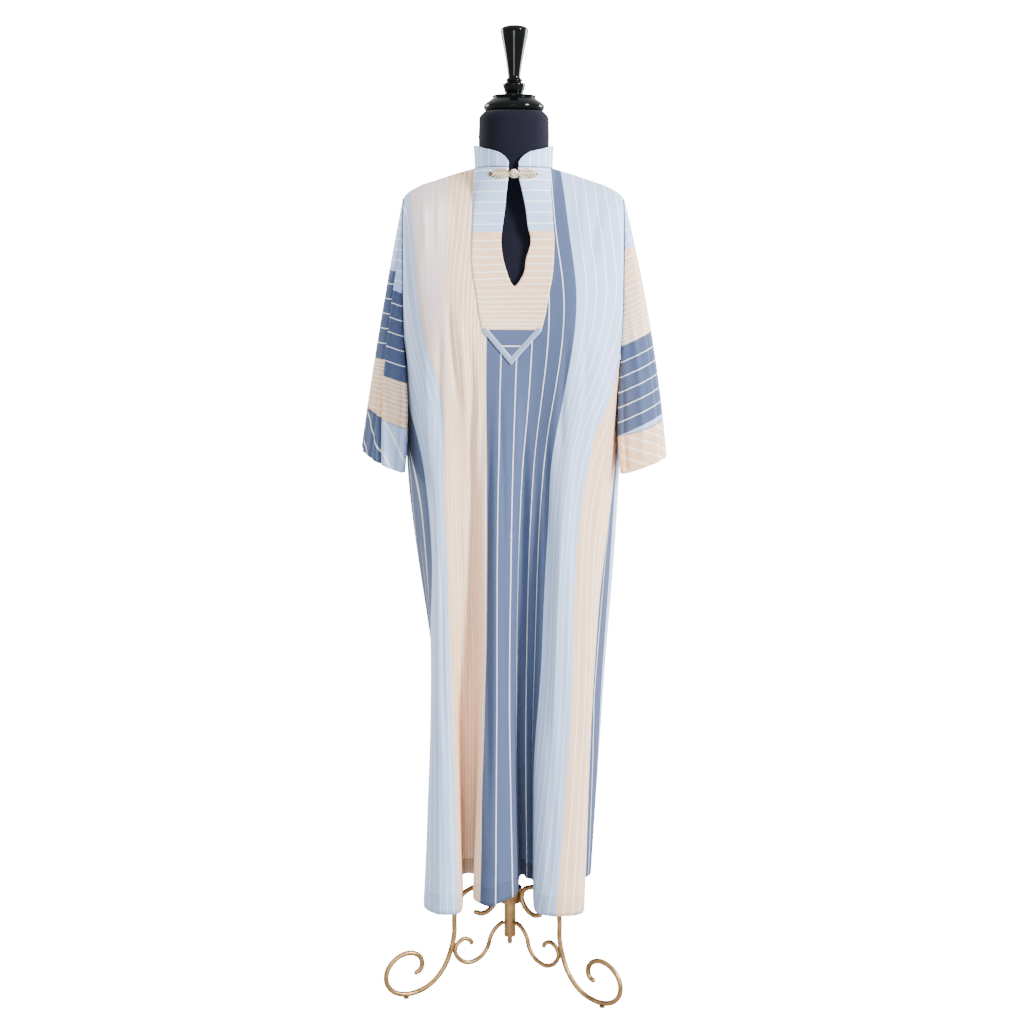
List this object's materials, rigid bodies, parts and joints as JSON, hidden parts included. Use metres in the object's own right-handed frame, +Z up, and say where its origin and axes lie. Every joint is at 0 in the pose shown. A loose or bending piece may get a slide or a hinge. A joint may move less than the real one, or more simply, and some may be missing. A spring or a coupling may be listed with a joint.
{
  "type": "striped kaftan dress on a limbless dress form with a scroll tripod stand",
  "caption": "Loose ankle-length striped kaftan with bib, stand collar and frog closure, hung on a black limbless dress form on a gold scroll tripod.",
  "frame": {"origin": "on the floor under the middle of the whole object", "axes": "+Z up, -Y the way the dress faces, +X to the viewer's right"},
  "size_m": [0.5294, 0.3816, 1.673],
  "materials": {
    "striped_cloth": "plain woven cotton blend, slate, pale blue and beige bands with white pinstripes",
    "bib_cloth": "the same cloth with its stripes across",
    "cuff_cloth": "the same cloth cut on the bias",
    "pale_cloth": "the same cloth's pale blue band",
    "frog_cord": "soft lustrous braided cord",
    "form_jersey": "matt knitted jersey stretched over foam",
    "black_lacquer": "gloss black lacquer",
    "gold_metal": "antique gold paint, satin"
  },
  "bodies": {
    "root": {"back_panel": "striped_cloth", "bib_binding_left": "pale_cloth", "bib_binding_right": "pale_cloth", "bib_panel": "bib_cloth", "brace_back": "gold_metal", "brace_left": "gold_metal", "brace_right": "gold_metal", "cuff_left": "cuff_cloth", "cuff_right": "cuff_cloth", "finial": "black_lacquer", "form_torso": "form_jersey", "frog_knot": "frog_cord", "frog_left": "frog_cord", "frog_right": "frog_cord", "front_panel": "striped_cloth", "glide_back": "gold_metal", "glide_left": "gold_metal", "glide_right": "gold_metal", "hub": "gold_metal", "leg_back": "gold_metal", "leg_left": "gold_metal", "leg_right": "gold_metal", "neck_cap": "black_lacquer", "pole": "gold_metal", "sleeve_left": "striped_cloth", "sleeve_right": "striped_cloth", "stand_collar": "pale_cloth"}
  },
  "joints": []
}
